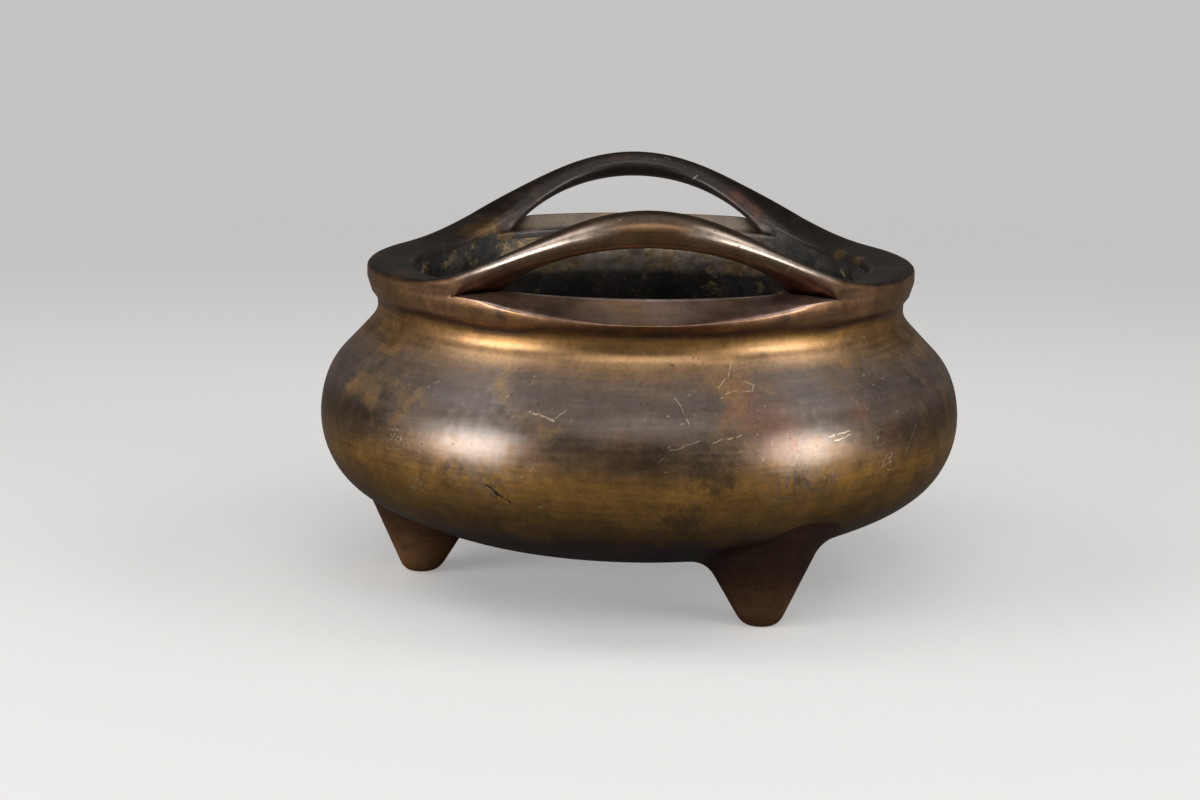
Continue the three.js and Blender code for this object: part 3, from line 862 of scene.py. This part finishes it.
def makeBronze(name, look, marked, hasLip):
    material, tree = newMaterial(name)
    point, (x, y, z) = objectPoint(tree)
    height = z + (noiseAt(point, *grains["zones"]) - 0.5) * look["wander"]
    colour = byHeight(height, look["zones"])
    sootAndShadeShare = 0.0
    if hasLip:
        colour, sootAndShadeShare = lipTones(colour, look, marked, point, x, y, z)
    golds = ramped(noiseAt(shifted(point, 40), *grains["golds"]), *grains["goldFrom"]) * look["goldShare"]
    golds = golds * ramped(z, *wear["plainBelowZ"]) if marked else golds
    colour = blended(golds, colour, look["gold"])
    reds = ramped(noiseAt(shifted(point, 90), *grains["reds"]), *grains["redFrom"]) * look["redShare"]
    lines = noiseAt(point.vector("MULTIPLY", grains["lineStretch"]), *grains["lines"])
    fromPit = addNode(tree, "ShaderNodeTexVoronoi", {}, Vector=point, Scale=grains["pitScale"])
    pitGroups = ramped(noiseAt(shifted(point, 20), *grains["swells"]), *grains["pitGroups"])
    pits = ramped(fromPit, *grains["pitReach"]) * pitGroups
    spots = ramped(noiseAt(shifted(point, 60), *grains["spots"]), *grains["spotFrom"]) * wear["spots"]
    pale = hairlines(point) * wear["hairlines"]
    hollow = pits
    if marked:
        shares = markShares(point, x, y, z)
        # painted highlight: pale grey patches where the side lamps' highlights fall on the belly
        colour = blended(shares["paintedHighlight"] * wear["paintedHighlight"], colour, look["paintedHighlight"])
        colour = blended(shares["golds"] * wear["golds"], colour, look["gold"])
        reds = reds.maths("MAXIMUM", shares["reds"] * wear["reds"])
        spots = spots.maths("MAXIMUM", shares["stains"] * wear["stains"]).maths("MAXIMUM", shares["cracks"])
        pale = pale.maths("MAXIMUM", shares["scratches"] * wear["scratches"])
        # pale specks, the smallest of them a painted glint
        pale = pale.maths("MAXIMUM", shares["specksAndGlints"] * wear["specksAndGlints"])
        hollow = hollow + shares["cracks"]
    colour = blended(reds, colour, look["red"])
    mottle = noiseAt(point, *grains["mottle"])
    fine = noiseAt(point, *grains["fine"])
    shade = (mottle - 0.5) * wear["mottleShade"] + (fine - 0.5) * wear["fineShade"]
    shade = shade + (lines - 0.5) * wear["lineShade"] + 1.0
    colour = colour.vector("SCALE", shade)
    colour = blended(spots.maths("MAXIMUM", pits * wear["pits"]), colour, look["dark"])
    colour = blended(pale, colour, look["pale"])
    low, full, fading, gone = look["patina"]
    patina = ramped(height, low, full) * ramped(height, gone, fading)
    rough = patina * (look["patinaRoughness"] - look["roughness"]) + look["roughness"]
    rough = rough + (mottle - 0.5) * wear["mottleRough"] + (lines - 0.5) * wear["lineRough"]
    neck = ramped(z, *wear["neckFromZ"]) * ramped(z, *wear["neckToZ"])
    rough = rough + pits * wear["pitRough"] + sootAndShadeShare * wear["sootRough"] + neck * wear["neckRough"]
    metallic = patina * (look["patinaMetallic"] - look["metallic"]) + look["metallic"]
    metallic = metallic - sootAndShadeShare * wear["sootMetallic"]
    relief = noiseAt(point, *grains["swells"]) * wear["swells"] + mottle * wear["mottleRelief"]
    relief = relief + fine * wear["fineRelief"] + lines * wear["lineRelief"]
    relief = relief - hollow * wear["pitRelief"] - pale * wear["scratchRelief"]
    bump = addNode(tree, "ShaderNodeBump", {}, Strength=0.8, Distance=mm, Height=relief)
    shader = addNode(
        tree, "ShaderNodeBsdfPrincipled", {},
        Base_Color=colour, Metallic=metallic, Roughness=rough, Normal=bump,
        Coat_Weight=look["coat"], Coat_Roughness=0.3, Specular_Tint=(0.5, 0.4, 0.3),
    )
    finishMaterial(tree, shader)
    return material


crust = {
    # the darkest inside colour stands for burnt-on deposit and for painted shade
    "sootAndShade": (0.022, 0.02, 0.019), "ash": (0.062, 0.052, 0.045), "deposit": (0.42, 0.29, 0.14),
    "depositShare": 0.75,
    # painted light: the pale band on the inside wall under the back rail, seen through the front window,
    # with tan deposits strengthened on it
    "litStrip": (0.22, 0.18, 0.14), "stripZ": (74, 77.5), "stripY": (25, 50), "stripX": (44, 28),
    "clouds": (16, 6.0, 0.62), "lumps": (3.2, 5.0, 0.65), "tan": (8, 7.0, 0.7), "grit": (0.9, 3.0),
    "ashFrom": (0.4, 0.65), "stripClouds": (0.3, 0.55), "tanFrom": (0.56, 0.66), "tanOnStrip": 0.11,
    "metallic": 0.35, "tanMetallic": 0.4, "roughness": 0.62, "lumpRough": 0.5, "tanRough": 0.2,
    "lumpShade": 2.0, "lumpRelief": 0.5, "gritRelief": 0.08, "tanRelief": 0.1,
}


def makeCrust(name):
    material, tree = newMaterial(name)
    point, (x, y, z) = objectPoint(tree)
    clouds = noiseAt(point, *crust["clouds"])
    lumps = noiseAt(point, *crust["lumps"])
    colour = blended(ramped(clouds, *crust["ashFrom"]), crust["sootAndShade"], crust["ash"])
    # painted light: a pale band on the inside wall under the back rail, with more tan deposits on it
    litStrip = ramped(z, *crust["stripZ"]) * ramped(y, *crust["stripY"])
    litStrip = litStrip * ramped(x.maths("ABSOLUTE"), *crust["stripX"])
    colour = blended(litStrip * ramped(clouds, *crust["stripClouds"]), colour, crust["litStrip"])
    tan = noiseAt(shifted(point, 30), *crust["tan"]) + litStrip * crust["tanOnStrip"]
    tan = ramped(tan, *crust["tanFrom"]) * crust["depositShare"]
    colour = blended(tan, colour, crust["deposit"])
    colour = colour.vector("SCALE", (lumps - 0.5) * crust["lumpShade"] + 1.0)
    rough = (lumps - 0.5) * crust["lumpRough"] - tan * crust["tanRough"] + crust["roughness"]
    metallic = tan * crust["tanMetallic"] + crust["metallic"]
    relief = lumps * crust["lumpRelief"] + tan * crust["tanRelief"]
    relief = relief + noiseAt(point, *crust["grit"]) * crust["gritRelief"]
    bump = addNode(tree, "ShaderNodeBump", {}, Strength=0.9, Distance=mm, Height=relief)
    shader = addNode(
        tree, "ShaderNodeBsdfPrincipled", {},
        Base_Color=colour, Metallic=metallic, Roughness=rough, Normal=bump,
    )
    finishMaterial(tree, shader)
    return material


def makeFloor():
    # A pale floor that far away turns into an even pale backdrop
    bpy.ops.mesh.primitive_plane_add(size=2 * studio["floorReach"], location=(0, 0, 0))
    floor = bpy.context.object
    floor.name = "floor"
    material, tree = newMaterial("floorPaper")
    point, _ = objectPoint(tree)
    rays = tree.nodes.new("ShaderNodeLightPath").outputs
    camera = Term(tree, rays["Is Camera Ray"])
    seen = camera.maths("MAXIMUM", Term(tree, rays["Is Glossy Ray"]))
    paper = addNode(
        tree, "ShaderNodeBsdfPrincipled", {},
        Base_Color=blended(camera, studio["floorColour"], studio["seenColour"]),
        Roughness=0.9, Specular_IOR_Level=0.1,
        Emission_Color=blended(camera, (0, 0, 0), studio["seenGlow"]), Emission_Strength=1.0,
    )
    farColour = blended(camera, studio["farReflected"], studio["farColour"])
    backdrop = addNode(tree, "ShaderNodeEmission", {}, Color=farColour, Strength=1.0)
    far = ramped(point.vector("LENGTH"), studio["farFrom"] / mm, studio["farAt"] / mm) * seen
    finishMaterial(tree, addNode(tree, "ShaderNodeMixShader", {}, far, paper, backdrop))
    floor.data.materials.append(material)


def makeLights():
    for name, box in studio["softboxes"].items():
        lamp = bpy.data.lights.new(name, "AREA")
        lamp.shape = "RECTANGLE"
        lamp.size, lamp.size_y = box["size"]
        lamp.energy = box["power"]
        holder = bpy.data.objects.new(name, lamp)
        bpy.context.scene.collection.objects.link(holder)
        azimuth, elevation = radians(box["azimuth"]), radians(box["elevation"])
        way = Vector((sin(azimuth) * cos(elevation), -cos(azimuth) * cos(elevation), sin(elevation)))
        holder.location = Vector((0, 0, 0.05)) + way * box["distance"]
        holder.rotation_euler = way.to_track_quat("Z", "Y").to_euler()
    world = bpy.data.worlds.new("studioRoom")
    world.use_nodes = True
    bpy.context.scene.world = world
    background = world.node_tree.nodes["Background"]
    background.inputs["Color"].default_value = (*studio["roomColour"], 1)
    background.inputs["Strength"].default_value = studio["ambient"]


def cameraPlace():
    turn = Matrix.Rotation(radians(photo["turn"]), 4, "Z")
    tilt = Matrix.Rotation(radians(90 - photo["tilt"]), 4, "X")
    roll = Matrix.Rotation(radians(photo["roll"]), 4, "Z")
    return Matrix.Translation(photo["position"]) @ turn @ tilt @ roll


def makeCamera():
    lens = bpy.data.cameras.new("photoCamera")
    lens.sensor_width = 36.0
    lens.lens = 36.0 * photo["focalPixels"] / photo["width"]
    camera = bpy.data.objects.new("photoCamera", lens)
    bpy.context.scene.collection.objects.link(camera)
    camera.matrix_world = cameraPlace()
    bpy.context.scene.camera = camera


print("studio")
makeFloor()
makeLights()
makeCamera()
bpy.context.scene.view_settings.view_transform = "Standard"

print("bronze")
potBronze = makeBronze("potBronze", potLook, True, True)
handleBronze = makeBronze("handleBronze", handleLook, False, True)
footBronze = makeBronze("footBronze", footLook, False, False)
litLeftFootBronze = makeBronze("litLeftFootBronze", litLeftFootLook, False, False)
crustedBronze = makeCrust("crustedBronze")
print("pot")
makePot(potBronze, crustedBronze)
print("handles")
makeHandle("frontHandle", "front_handle", rails["front"], 0, handleBronze)
makeHandle("backHandle", "back_handle", rails["back"], pi, handleBronze)
print("feet")
for name, (node, angle) in feet["places"].items():
    makeFoot(name, node, angle, litLeftFootBronze if name == "leftFoot" else footBronze)
